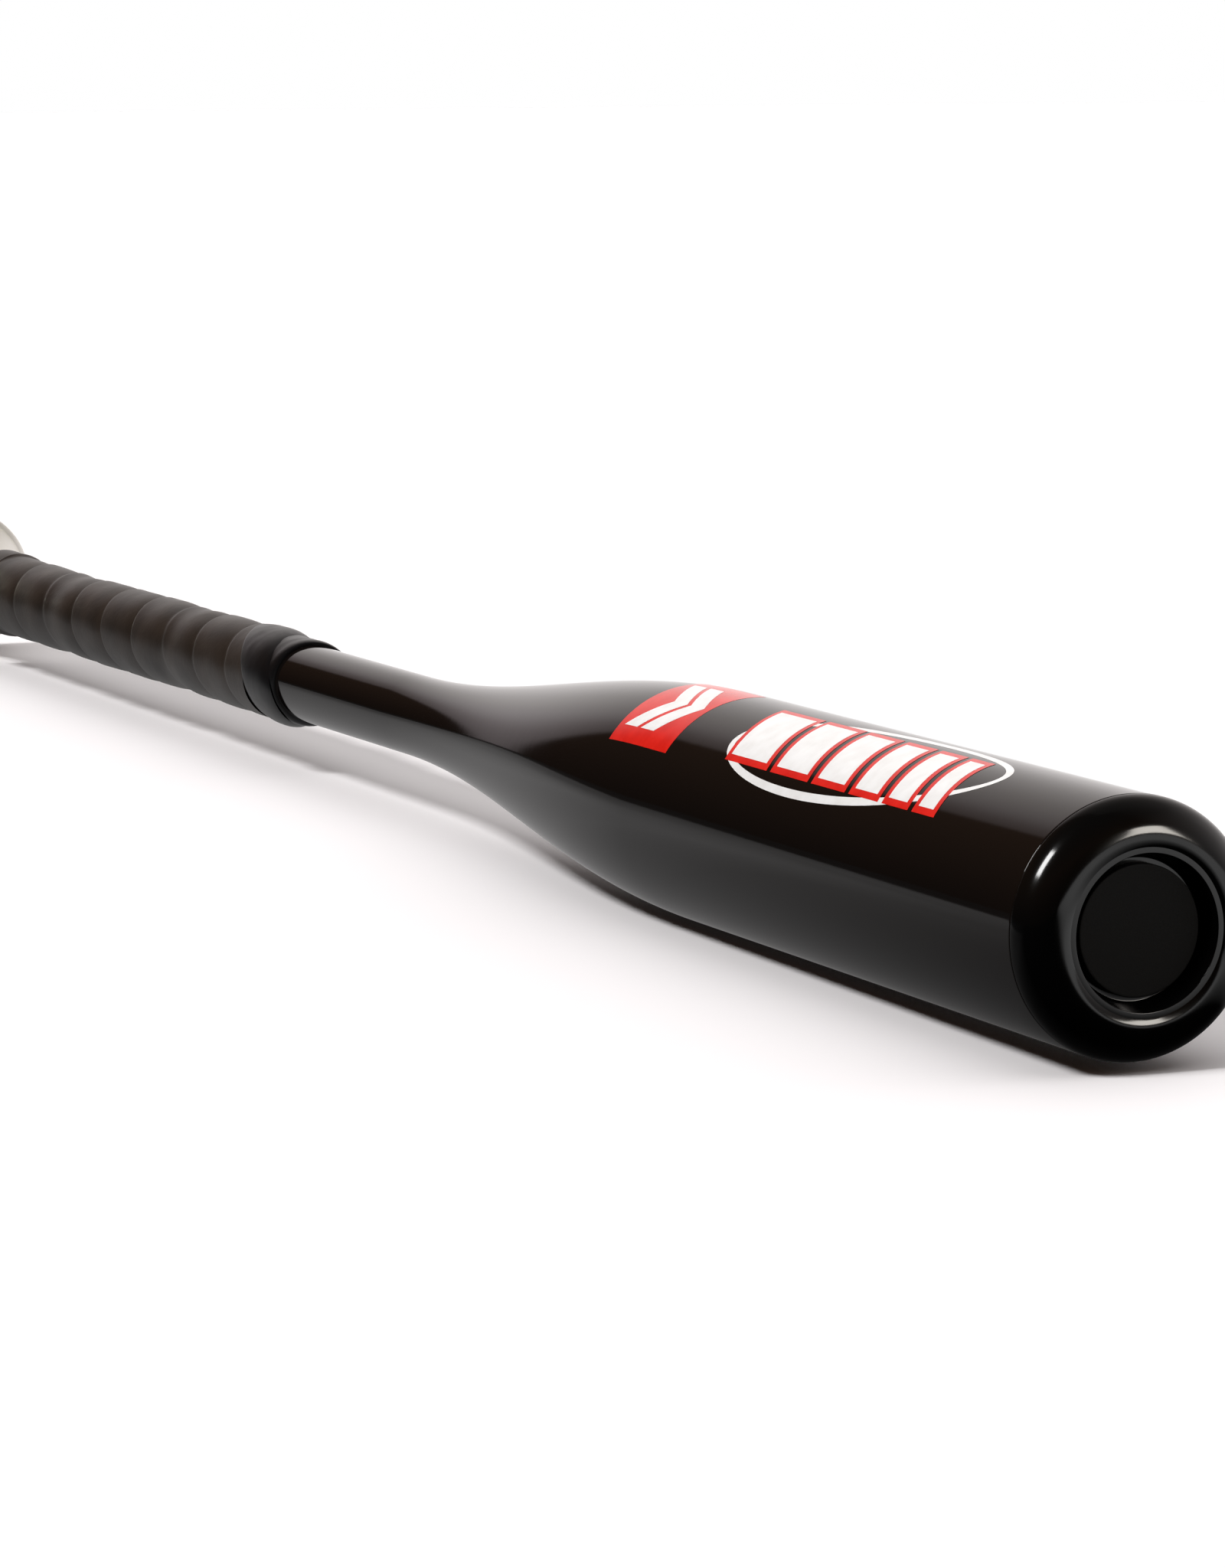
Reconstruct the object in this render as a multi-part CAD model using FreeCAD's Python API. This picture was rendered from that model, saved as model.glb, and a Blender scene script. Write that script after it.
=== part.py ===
import FreeCAD, Part
import math
import os

# One-piece alloy bat, lying along +X with +Z up. The origin is the centre of the knob's flat end face,
# and the bat's axis is the X axis, so every turned piece is a profile of (x, radius) spun about it.
# Lengths are in millimetres.

# ---- driving dimensions ----
TOTAL_LENGTH = 838.2          # 33 inch bat
BARREL_RADIUS = 57.15 / 2     # 2 1/4 inch barrel
HANDLE_RADIUS = 22.22 / 2     # 7/8 inch handle tube
BARREL_WALL = 2.0
HANDLE_WALL = 2.4
TAPER_START = 427.2           # handle stops being parallel
TAPER_LENGTH = 204.0
TAPER_STEPS = 12              # points along the taper's curve

# knob
KNOB_RADIUS = 23.8
KNOB_FACE_RADIUS = 20.8       # flat part of the end face
KNOB_RIM_WIDTH = 3.0          # parallel part of the rim
KNOB_EDGE_RADIUS = 3.0
RIM_SHOULDER = (8.4, 23.05)   # on the round between the rim and the flare
FLARE_START = (9.5, 21.6)     # where the flare leaves that round
KNOB_NECK = 56.0              # the flare reaches handle size here, just under the tape
SHANK_LENGTH = 20.0
SHANK_GAP = 0.05
SHANK_CHAMFER = 1.0
WELD_WIDTH = 4.0
WELD_DEPTH = 1.6

# grip
GRIP_START = 54.0
GRIP_END = 322.0
GRIP_TURNS = 10
GRIP_LOW_RADIUS = 12.55       # each turn's barrel-side edge
GRIP_HIGH_RADIUS = 12.95      # each turn's knob-side edge, lying on the turn before
START_TURN_RADIUS = 13.8      # doubled first turn
START_TURN_LENGTH = 14.0
START_TURN_FALL = 0.4         # drop over the doubled turn
LAP_LENGTH = 1.0              # how quickly the tape climbs on to the turn before
BASE_TAPE = 0.35
TAIL_END = 352.0
TAIL_RADIUS = 12.55
TAPE_EDGE = 0.6               # softened edge of a tape
RIDGE_START = 311.0
RIDGE_END = 337.0
RIDGE_RADIUS = 13.75
RIDGE_EDGE_HEIGHT = 0.4

# end cap
CAP_SHOULDER = (8.0, 8.275)   # axial and radial half axes of the rounded shoulder
CAP_WEB = 3.0
LEDGE_OUTER = (0.36, 18.2)    # ring-shaped ledge inside the crest: depth below the crest, radius
LEDGE_INNER = (0.4, 16.9)
CREST_MIDDLE = (0.1, 19.3)   # on the round between crest and ledge
LEDGE_DRAFT = 0.4
GROOVE_DEPTH = 6.5            # below the crest
DISC_RADIUS = 14.28
DISC_DEPTH = 4.0              # face of the disc below the crest
DISC_CHAMFER = 0.3
DISC_SPIGOT = (5.0, 1.2)      # radius and depth of the peg that locates the disc
SKIRT_RADIUS = 26.1
SKIRT_WALL = 2.7
SKIRT_LENGTH = 20.0
SKIRT_LEAD = 1.0              # plain length before the first barb and behind the seam
BARB_COUNT = 3
BARB_PITCH = 3.0
BARB_RADIUS = 26.5

# pieces inside
PLUG_START = 84.0
PLUG_LENGTH = 25.0
WEIGHT_LENGTH = 13.0
DAMPER_LENGTH = 36.0
DAMPER_GAP = 4.0              # between the damper and the cap's skirt
INNER_FIT = 0.05

# graphics: thin transfers on the barrel, placed by their angle round the axis (0 is +Y, 90 is the top)
FILM = 0.06
FILM_STEPS = 8                # points along a film that follows the shoulder
PANEL_X = (610.6, 644.4)
PANEL_ANGLES = (84.0, 145.0)
EMBLEM_X = (613.6, 641.4)
EMBLEM_HEIGHT = 21.0
EMBLEM_STROKE = 7.5
EMBLEM_GAP = 1.5
GRAPHIC_ANGLE = 118.5
OVAL_CENTRE_X = 730.4
OVAL_HALF_AXES = (60.0, 14.6)
OVAL_LINE = 2.2
OVAL_TILT = 4.8
BAR_START_X = 676.0
BAR_WIDTHS = (19.0, 16.0, 13.5, 11.0, 9.0, 7.0)
BAR_GAP = 5.6
BAR_HEIGHT = 17.6
BAR_SLANT = 5.0               # how far a bar's top edge leans towards the knob
BAR_EDGE = 1.8                # red margin round each bar

SEAM = TOTAL_LENGTH - CAP_SHOULDER[0]
TAPER_END = TAPER_START + TAPER_LENGTH
BORE_RADIUS = BARREL_RADIUS - BARREL_WALL
HANDLE_BORE = HANDLE_RADIUS - HANDLE_WALL
AXIS = FreeCAD.Vector(1, 0, 0)


def point(x, radius):
    return FreeCAD.Vector(x, radius, 0)


def line(start, end):
    return Part.makeLine(point(*start), point(*end))


def arc(start, middle, end):
    return Part.Arc(point(*start), point(*middle), point(*end)).toShape()


def polyline(corners):
    return [line(corners[i], corners[i + 1]) for i in range(len(corners) - 1)]


def quarter_ellipse(centre, axial, radial):
    """From the outermost point round to the crest; the longer half axis is the ellipse's major one."""
    out = point(centre[0], centre[1] + radial)
    crest = point(centre[0] + axial, centre[1])
    major, minor = (out, crest) if radial > axial else (crest, out)
    ellipse = Part.Ellipse(major, minor, point(*centre))
    return ellipse.toShape(0, math.pi / 2)


def turned(edges):
    """Spin a closed profile of (x, radius) edges about the bat's axis."""
    wire = Part.Wire(Part.__sortEdges__(edges))
    return Part.Face(wire).revolve(FreeCAD.Vector(0, 0, 0), AXIS, 360)


def ring(x_start, x_end, inner, outer):
    """A plain turned ring, or a disc when inner is 0."""
    corners = [(x_start, inner), (x_end, inner), (x_end, outer), (x_start, outer), (x_start, inner)]
    return turned(polyline(corners))


def taper_radius(x, small, large):
    """Half a cosine wave from the handle's radius to the barrel's."""
    along = (x - TAPER_START) / TAPER_LENGTH
    return (small + large) / 2 - (large - small) / 2 * math.cos(math.pi * along)


def taper_curve(small, large):
    points = []
    for i in range(TAPER_STEPS + 1):
        x = TAPER_START + TAPER_LENGTH * i / TAPER_STEPS
        points.append(point(x, taper_radius(x, small, large)))
    curve = Part.BSplineCurve()
    curve.interpolate(Points=points, InitialTangent=AXIS, FinalTangent=AXIS)
    return curve.toShape()


# ---- tube ----

def bat_shell():
    """Tube swaged from the barrel down to the handle, its knob end chamfered for the weld."""
    start = KNOB_NECK
    edges = [
        line((start + WELD_WIDTH / 2, HANDLE_RADIUS), (TAPER_START, HANDLE_RADIUS)),
        taper_curve(HANDLE_RADIUS, BARREL_RADIUS),
        line((TAPER_END, BARREL_RADIUS), (SEAM, BARREL_RADIUS)),
        line((SEAM, BARREL_RADIUS), (SEAM, BORE_RADIUS)),
        line((SEAM, BORE_RADIUS), (TAPER_END, BORE_RADIUS)),
        taper_curve(HANDLE_BORE, BORE_RADIUS),
        line((TAPER_START, HANDLE_BORE), (start, HANDLE_BORE)),
        line((start, HANDLE_BORE), (start, HANDLE_RADIUS - WELD_DEPTH)),
        line((start, HANDLE_RADIUS - WELD_DEPTH), (start + WELD_WIDTH / 2, HANDLE_RADIUS)),
    ]
    return turned(edges)


# ---- knob end ----

def flare_middle():
    """Middle point of the flare's arc, which meets the handle's surface without a corner."""
    run = KNOB_NECK - WELD_WIDTH / 2 - FLARE_START[0]
    rise = FLARE_START[1] - HANDLE_RADIUS
    radius = (run * run + rise * rise) / (2 * rise)
    half_angle = math.asin(run / radius) / 2
    x = KNOB_NECK - WELD_WIDTH / 2 - radius * math.sin(half_angle)
    return (x, HANDLE_RADIUS + radius * (1 - math.cos(half_angle)))


def knob():
    """Turned knob: flat face, round edge, flare down to the handle, and a shank inside the tube."""
    corner = KNOB_EDGE_RADIUS * (1 - math.sqrt(0.5))
    rim_end = KNOB_EDGE_RADIUS + KNOB_RIM_WIDTH
    neck = KNOB_NECK - WELD_WIDTH / 2
    shank = HANDLE_BORE - SHANK_GAP
    shank_end = KNOB_NECK + SHANK_LENGTH
    edges = [
        line((0, 0), (0, KNOB_FACE_RADIUS)),
        arc((0, KNOB_FACE_RADIUS), (corner, KNOB_RADIUS - corner), (KNOB_EDGE_RADIUS, KNOB_RADIUS)),
        line((KNOB_EDGE_RADIUS, KNOB_RADIUS), (rim_end, KNOB_RADIUS)),
        arc((rim_end, KNOB_RADIUS), RIM_SHOULDER, FLARE_START),
        arc(FLARE_START, flare_middle(), (neck, HANDLE_RADIUS)),
        line((neck, HANDLE_RADIUS), (KNOB_NECK, HANDLE_RADIUS - WELD_DEPTH)),
        line((KNOB_NECK, HANDLE_RADIUS - WELD_DEPTH), (KNOB_NECK, shank)),
        line((KNOB_NECK, shank), (shank_end - SHANK_CHAMFER, shank)),
        line((shank_end - SHANK_CHAMFER, shank), (shank_end, shank - SHANK_CHAMFER)),
        line((shank_end, shank - SHANK_CHAMFER), (shank_end, 0)),
        line((shank_end, 0), (0, 0)),
    ]
    return turned(edges)


def knob_weld_bead():
    """Weld that fills the groove between knob and tube, ground flush."""
    corners = [
        (KNOB_NECK - WELD_WIDTH / 2, HANDLE_RADIUS),
        (KNOB_NECK, HANDLE_RADIUS - WELD_DEPTH),
        (KNOB_NECK + WELD_WIDTH / 2, HANDLE_RADIUS),
        (KNOB_NECK - WELD_WIDTH / 2, HANDLE_RADIUS),
    ]
    return turned(polyline(corners))


def handle_plug():
    """Foam-rubber stopper pushed into the handle's bore."""
    return ring(PLUG_START, PLUG_START + PLUG_LENGTH, 0, HANDLE_BORE - INNER_FIT)


# ---- grip ----

def grip_base_tape():
    """Thin underlay on the handle tube."""
    return ring(GRIP_START, GRIP_END, HANDLE_RADIUS, HANDLE_RADIUS + BASE_TAPE)


def grip_wrap():
    """Wound tape: each turn is high where it lies on the turn before and low where the next covers it."""
    inner = HANDLE_RADIUS + BASE_TAPE
    pitch = (GRIP_END - GRIP_START) / GRIP_TURNS
    first_end = GRIP_START + START_TURN_LENGTH
    corners = [
        (GRIP_START, inner),
        (GRIP_START, START_TURN_RADIUS - TAPE_EDGE),
        (GRIP_START + TAPE_EDGE, START_TURN_RADIUS),
        (first_end, START_TURN_RADIUS - START_TURN_FALL),
        (first_end, GRIP_HIGH_RADIUS),
    ]
    for turn in range(1, GRIP_TURNS):
        x = GRIP_START + turn * pitch
        corners.append((x, GRIP_LOW_RADIUS))
        corners.append((x + LAP_LENGTH, GRIP_HIGH_RADIUS))
    corners.append((GRIP_END, GRIP_LOW_RADIUS))
    corners.append((GRIP_END, inner))
    corners.append((GRIP_START, inner))
    return turned(polyline(corners))


def finishing_tape_tail():
    """Last turn of the finishing tape, lying on the bare tube."""
    corners = [
        (GRIP_END, HANDLE_RADIUS),
        (TAIL_END, HANDLE_RADIUS),
        (TAIL_END, TAIL_RADIUS - TAPE_EDGE / 2),
        (TAIL_END - TAPE_EDGE, TAIL_RADIUS),
        (GRIP_END, TAIL_RADIUS),
        (GRIP_END, HANDLE_RADIUS),
    ]
    return turned(polyline(corners))


def finishing_tape_ridge():
    """First turns of the finishing tape, bulging over the end of the wrap."""
    low = (RIDGE_END, TAIL_RADIUS + RIDGE_EDGE_HEIGHT)
    high = (RIDGE_START, GRIP_HIGH_RADIUS + RIDGE_EDGE_HEIGHT)
    edges = polyline([
        high,
        (RIDGE_START, GRIP_HIGH_RADIUS),
        (GRIP_END, GRIP_HIGH_RADIUS),
        (GRIP_END, TAIL_RADIUS),
        (RIDGE_END, TAIL_RADIUS),
        low,
    ])
    edges.append(arc(low, ((RIDGE_START + RIDGE_END) / 2, RIDGE_RADIUS), high))
    return turned(edges)


# ---- barrel end ----

def end_cap():
    """Moulded cap: rounded shoulder, recessed middle with a groove, and a barbed skirt in the barrel."""
    axial, radial = CAP_SHOULDER
    crest = TOTAL_LENGTH
    crest_radius = BARREL_RADIUS - radial
    floor = crest - GROOVE_DEPTH
    back = floor - CAP_WEB
    skirt_end = SEAM - SKIRT_LENGTH
    seat = floor - DISC_SPIGOT[1]
    ledge_inner = (crest - LEDGE_INNER[0], LEDGE_INNER[1])
    ledge_outer = (crest - LEDGE_OUTER[0], LEDGE_OUTER[1])
    crest_middle = (crest - CREST_MIDDLE[0], CREST_MIDDLE[1])
    shoulder = quarter_ellipse((SEAM, crest_radius), axial, radial)
    edges = [
        line((seat, 0), (seat, DISC_SPIGOT[0])),
        line((seat, DISC_SPIGOT[0]), (floor, DISC_SPIGOT[0])),
        line((floor, DISC_SPIGOT[0]), (floor, LEDGE_INNER[1] - LEDGE_DRAFT)),
        line((floor, LEDGE_INNER[1] - LEDGE_DRAFT), ledge_inner),
        line(ledge_inner, ledge_outer),
        arc(ledge_outer, crest_middle, (crest, crest_radius)),
        shoulder,
        line((SEAM, BARREL_RADIUS), (SEAM, SKIRT_RADIUS)),
    ]
    outline = [(SEAM, SKIRT_RADIUS)]
    for i in reversed(range(BARB_COUNT)):
        x = skirt_end + SKIRT_LEAD + i * BARB_PITCH
        outline.append((x + BARB_PITCH / 2, SKIRT_RADIUS))
        outline.append((x + BARB_PITCH / 2, BARB_RADIUS))
        outline.append((x, SKIRT_RADIUS))
    outline.append((skirt_end, SKIRT_RADIUS))
    outline.append((skirt_end, SKIRT_RADIUS - SKIRT_WALL))
    outline.append((back, SKIRT_RADIUS - SKIRT_WALL))
    outline.append((back, 0))
    outline.append((seat, 0))
    return turned(edges + polyline(outline))


def cap_centre_disc():
    """Matt disc pressed into the middle of the cap."""
    face = TOTAL_LENGTH - DISC_DEPTH
    floor = TOTAL_LENGTH - GROOVE_DEPTH
    corners = [
        (floor - DISC_SPIGOT[1], 0),
        (floor - DISC_SPIGOT[1], DISC_SPIGOT[0]),
        (floor, DISC_SPIGOT[0]),
        (floor, DISC_RADIUS),
        (face - DISC_CHAMFER, DISC_RADIUS),
        (face, DISC_RADIUS - DISC_CHAMFER),
        (face, 0),
        (floor - DISC_SPIGOT[1], 0),
    ]
    return turned(polyline(corners))


def cap_adhesive_ring():
    """Adhesive between the plain part of the skirt and the barrel's bore."""
    barbs_end = SEAM - SKIRT_LENGTH + SKIRT_LEAD + BARB_COUNT * BARB_PITCH
    return ring(barbs_end, SEAM - SKIRT_LEAD, SKIRT_RADIUS, BORE_RADIUS)


def cap_balance_weight():
    """Urethane slug cast into the back of the cap."""
    back = TOTAL_LENGTH - GROOVE_DEPTH - CAP_WEB
    return ring(back - WEIGHT_LENGTH, back, 0, SKIRT_RADIUS - SKIRT_WALL)


def barrel_foam_damper():
    """Foam plug behind the cap that deadens the barrel."""
    end = SEAM - SKIRT_LENGTH - DAMPER_GAP
    return ring(end - DAMPER_LENGTH, end, 0, BORE_RADIUS - INNER_FIT)


# ---- graphics ----

def film_band(x_start, x_end, below, above):
    """Skin that follows the bat's outside between two x, from below to above that surface."""
    edges = []
    for height in (below, above):
        points = []
        for i in range(FILM_STEPS + 1):
            x = x_start + (x_end - x_start) * i / FILM_STEPS
            radius = taper_radius(min(x, TAPER_END), HANDLE_RADIUS, BARREL_RADIUS)
            points.append(point(x, radius + height))
        curve = Part.BSplineCurve()
        curve.interpolate(points)
        edges.append(curve.toShape())
    first, second = edges
    for end in (0, -1):
        edges.append(Part.makeLine(first.Vertexes[end].Point, second.Vertexes[end].Point))
    return turned(edges)


def barrel_skin(x_start, x_end, below, above):
    """The same skin on the parallel barrel."""
    return ring(x_start, x_end, BARREL_RADIUS + below, BARREL_RADIUS + above)


def block(wire, angle):
    """Solid that carries a flat outline through the bat's skin, outwards at this angle."""
    turn = FreeCAD.Rotation(AXIS, angle - 90)
    solid = Part.Face(wire).extrude(FreeCAD.Vector(0, 0, 2 * BARREL_RADIUS))
    solid.Placement = FreeCAD.Placement(FreeCAD.Vector(0, 0, 0), turn)
    return solid


def chord(arc_length):
    """Sideways distance, seen straight on, of a point this far round the barrel."""
    return BARREL_RADIUS * math.sin(arc_length / BARREL_RADIUS)


def flat_outline(corners):
    """Closed straight-sided outline from (x, distance round the barrel towards the top)."""
    points = [FreeCAD.Vector(x, chord(across), 0) for x, across in corners]
    return Part.makePolygon(points + points[:1])


def shoulder_panel():
    """Red transfer wrapped over the shoulder."""
    middle = sum(PANEL_ANGLES) / 2
    half = math.radians(PANEL_ANGLES[1] - PANEL_ANGLES[0]) / 2 * BARREL_RADIUS
    left, right = PANEL_X
    outline = flat_outline([(left, -half), (right, -half), (right, half), (left, half)])
    return film_band(left, right, 0, FILM).common(block(outline, middle))


def shoulder_emblem():
    """Two plain chevrons on the red panel, pointing towards the cap."""
    left, right = EMBLEM_X
    half = EMBLEM_HEIGHT / 2
    reach = (right - left - EMBLEM_GAP) / 2
    shapes = []
    for start in (left, left + reach + EMBLEM_GAP):
        tip = start + reach
        inner = tip - EMBLEM_STROKE
        shapes.append(flat_outline([
            (start, half), (start + EMBLEM_STROKE, half), (tip, 0), (start + EMBLEM_STROKE, -half),
            (start, -half), (inner, 0),
        ]))
    skin = film_band(left, right, FILM, 2 * FILM)
    pieces = [skin.common(block(wire, sum(PANEL_ANGLES) / 2)) for wire in shapes]
    return Part.makeCompound([solid for piece in pieces for solid in piece.Solids])


def bar_outlines(margin):
    """Slanted bars that get narrower towards the cap, grown by a margin."""
    outlines = []
    x = BAR_START_X
    half = BAR_HEIGHT / 2 + margin
    lean = BAR_SLANT / BAR_HEIGHT * half
    for width in BAR_WIDTHS:
        centre = x + width / 2
        side = width / 2 + margin
        outlines.append(flat_outline([
            (centre - side + lean, -half), (centre + side + lean, -half),
            (centre + side - lean, half), (centre - side - lean, half),
        ]))
        x += width + BAR_GAP
    return outlines


def barrel_transfers(outlines, below, above):
    skin = barrel_skin(TAPER_END, SEAM, below, above)
    pieces = [skin.common(block(wire, GRAPHIC_ANGLE)) for wire in outlines]
    return Part.makeCompound([solid for piece in pieces for solid in piece.Solids])


def oval_ring(bars):
    """White oval line that passes behind the bars."""
    turn = FreeCAD.Rotation(FreeCAD.Vector(0, 0, 1), OVAL_TILT)
    place = FreeCAD.Placement(FreeCAD.Vector(OVAL_CENTRE_X, 0, 0), turn)
    solids = []
    for inset in (0, OVAL_LINE):
        long_half, short_half = OVAL_HALF_AXES
        ellipse = Part.Ellipse(FreeCAD.Vector(0, 0, 0), long_half - inset, short_half - inset)
        wire = Part.Wire(ellipse.toShape())
        wire.Placement = place
        solids.append(block(wire, GRAPHIC_ANGLE))
    outer, inner = solids
    skin = barrel_skin(TAPER_END, SEAM, 0, FILM)
    return skin.common(outer).cut(inner).cut(bars)


def main():
    os.makedirs("parts", exist_ok=True)
    backing = barrel_transfers(bar_outlines(BAR_EDGE), 0, FILM)
    pieces = {
        "bat_shell": bat_shell(),
        "knob": knob(),
        "knob_weld_bead": knob_weld_bead(),
        "handle_plug": handle_plug(),
        "grip_base_tape": grip_base_tape(),
        "grip_wrap": grip_wrap(),
        "finishing_tape_tail": finishing_tape_tail(),
        "finishing_tape_ridge": finishing_tape_ridge(),
        "end_cap": end_cap(),
        "cap_centre_disc": cap_centre_disc(),
        "cap_adhesive_ring": cap_adhesive_ring(),
        "cap_balance_weight": cap_balance_weight(),
        "barrel_foam_damper": barrel_foam_damper(),
        "shoulder_panel": shoulder_panel(),
        "shoulder_emblem": shoulder_emblem(),
        "oval_ring": oval_ring(backing),
        "bar_backing": backing,
        "bar_faces": barrel_transfers(bar_outlines(0), FILM, 2 * FILM),
    }
    for name, shape in pieces.items():
        shape.exportStep(f"parts/{name}.step")
        box = shape.BoundBox
        print(f"{name:22s} solids {len(shape.Solids)} valid {shape.isValid()} volume {shape.Volume:10.1f} "
              f"x {box.XMin:.1f}..{box.XMax:.1f}")


main()
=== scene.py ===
# %% [markdown]
# # A one-piece alloy bat
# The bat is an aluminium tube, swaged down from a wide barrel to a slim handle and lacquered black. A turned
# knob is welded to its thin end, tape is wound round the handle, and a moulded cap closes the barrel.
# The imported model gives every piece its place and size. Here each piece that can be seen is built again
# with a finer surface, and every piece gets its finish.

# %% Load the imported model
import math
import bpy
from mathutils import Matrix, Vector


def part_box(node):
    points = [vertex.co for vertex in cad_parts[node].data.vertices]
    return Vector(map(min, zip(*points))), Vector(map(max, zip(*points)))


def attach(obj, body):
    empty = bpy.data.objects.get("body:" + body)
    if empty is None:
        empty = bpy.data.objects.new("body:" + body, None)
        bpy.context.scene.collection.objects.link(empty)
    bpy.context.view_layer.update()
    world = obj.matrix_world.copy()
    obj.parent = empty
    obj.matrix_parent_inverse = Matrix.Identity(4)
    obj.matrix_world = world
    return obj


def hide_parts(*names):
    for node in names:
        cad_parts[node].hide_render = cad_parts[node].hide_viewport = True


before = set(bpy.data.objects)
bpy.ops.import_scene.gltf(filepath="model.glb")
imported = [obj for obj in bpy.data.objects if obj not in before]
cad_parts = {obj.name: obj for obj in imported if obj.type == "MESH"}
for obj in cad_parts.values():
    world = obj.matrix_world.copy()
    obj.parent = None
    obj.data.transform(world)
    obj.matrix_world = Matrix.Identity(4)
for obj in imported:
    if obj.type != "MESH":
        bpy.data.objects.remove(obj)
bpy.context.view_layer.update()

# %% [markdown]
# Lengths below are in millimetres, as on a workshop drawing, and `MM` turns them into Blender's metres.
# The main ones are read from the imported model, so a piece built here lands where its CAD node is.

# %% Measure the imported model
MM = 0.001


def reach(node):
    """How far a node runs along the bat, and its largest radius, in millimetres."""
    low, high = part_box(node)
    return round(low.x / MM, 3), round(high.x / MM, 3), round(high.y / MM, 3)


tube_start, SEAM, BARREL_RADIUS = reach("bat_shell")
_, CREST, _ = reach("end_cap")
_, shank_end, KNOB_RADIUS = reach("knob")
weld_start, weld_end, HANDLE_RADIUS = reach("knob_weld_bead")
GRIP_START, GRIP_END, _ = reach("grip_wrap")
_, _, UNDERLAY_RADIUS = reach("grip_base_tape")
_, TAIL_END, TAIL_RADIUS = reach("finishing_tape_tail")
RIDGE_START, RIDGE_END, RIDGE_RADIUS = reach("finishing_tape_ridge")
print("barrel radius", BARREL_RADIUS, "handle radius", HANDLE_RADIUS, "seam at", SEAM, "crest at", CREST)
print("grip from", GRIP_START, "to", GRIP_END, "tape tail ends at", TAIL_END, "ridge radius", RIDGE_RADIUS)

# %% [markdown]
# ## Camera
# A long lens stands beyond the barrel's end, a little to one side and above, so the cap is near and the
# knob is far. The camera is aimed at a point on the bat's axis and then rolled a hair, because the bat
# leans: its knob and its barrel have different radii.

# %% Place the camera
CAMERA_PLACE = Vector((1.86344, -0.57242, 0.18996))
CAMERA_AIM = Vector((0.55976, 0, -0.00273))
CAMERA_ROLL = math.radians(-0.118)

bpy.ops.object.camera_add(location=CAMERA_PLACE)
camera = bpy.context.object
camera.rotation_euler = (CAMERA_AIM - CAMERA_PLACE).to_track_quat("-Z", "Y").to_euler()
camera.rotation_euler.rotate_axis("Z", CAMERA_ROLL)
camera.data.lens = 130.08
camera.data.sensor_width = 36
camera.data.clip_end = 100
bpy.context.scene.camera = camera
print("camera is", round((CAMERA_AIM - CAMERA_PLACE).length, 3), "m from the point it looks at")

# %% [markdown]
# ## Nodes
# A material or a world is a tree of nodes. `add_node` puts in one node, sets its sockets or options by name
# and joins its inputs, and `linear` turns a colour as a designer writes it into the linear values that
# light is reckoned in.


# %% Two small helpers for node trees
def linear(code):
    """A linear colour from an sRGB hex code such as "ff8800"."""
    channels = [int(code[i:i + 2], 16) / 255 for i in (0, 2, 4)]
    return [c / 12.92 if c <= 0.04045 else ((c + 0.055) / 1.055) ** 2.4 for c in channels] + [1.0]


def add_node(tree, kind, settings=None, links=None):
    """Add a node, set its inputs or options, and join its inputs to other nodes' outputs."""
    node = tree.nodes.new(kind)
    for name, value in (settings or {}).items():
        if isinstance(name, int) or name in node.inputs:
            node.inputs[name].default_value = value
        else:
            setattr(node, name, value)
    for name, output in (links or {}).items():
        tree.links.new(output, node.inputs[name])
    return node


def add_ramp(tree, source, stops):
    """A colour ramp through (position, hex code) stops."""
    ramp = add_node(tree, "ShaderNodeValToRGB", {}, {"Fac": source})
    elements = ramp.color_ramp.elements
    while len(elements) < len(stops):
        elements.new(1.0)
    for element, (position, code) in zip(elements, stops):
        element.position = position
        element.color = linear(code)
    return ramp.outputs["Color"]


def shares(stops, limits):
    """Turn stops that are placed in metres into shares of the way between two limits."""
    low, high = limits
    return [((place - low) / (high - low), code) for place, code in stops]


# %% [markdown]
# ## Surroundings
# Gloss black shows its surroundings more than itself, so the room is part of the finish. A bright wall
# stands behind the bat and to its right, and fades to a dark room on the left. The lacquer draws the edge
# between the two as one long line. Only reflections and soft light see this room: the backdrop is white.

# %% Light the room
WALL_STOPS = [
    (-9.2, "000000"), (-8.6, "8a8284"), (-5, "aea6a8"), (-2, "cdc6c8"), (1, "e0dadb"),
    (6, "efeae9"), (15, "f8f4f3"), (90, "fcf8f8"), (150, "000000"),
]
WALL_HEIGHTS = [(0.0, "ffffff"), (0.18, "f6f6f6"), (0.45, "c6c6c6"), (0.75, "6c6c6c"), (1.0, "383838")]
ROOM_HEIGHTS = [(0.0, "1e150f"), (0.12, "2a1d15"), (0.45, "463325"), (1.0, "2a241f")]
WALL_STRENGTH = 1.15

scene = bpy.context.scene
scene.view_settings.view_transform = "Standard"
world = bpy.data.worlds.new("studio")
world.use_nodes = True
scene.world = world
tree = world.node_tree
tree.nodes.clear()
direction = add_node(tree, "ShaderNodeTexCoord").outputs["Generated"]
axes = add_node(tree, "ShaderNodeSeparateXYZ", {}, {"Vector": direction})
ahead = add_node(tree, "ShaderNodeMath", {"operation": "MULTIPLY", 1: -1.0}, {0: axes.outputs["X"]})
turn = add_node(tree, "ShaderNodeMath", {"operation": "ARCTAN2"}, {0: axes.outputs["Y"], 1: ahead.outputs[0]})
share = add_node(
    tree, "ShaderNodeMapRange", {"From Min": -math.pi, "From Max": math.pi}, {"Value": turn.outputs[0]})
wall = add_ramp(tree, share.outputs[0], [((angle + 180) / 360, code) for angle, code in WALL_STOPS])
wall_height = add_ramp(tree, axes.outputs["Z"], WALL_HEIGHTS)
room_height = add_ramp(tree, axes.outputs["Z"], ROOM_HEIGHTS)
bright = add_node(tree, "ShaderNodeVectorMath", {"operation": "MULTIPLY"}, {0: wall, 1: wall_height})
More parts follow.
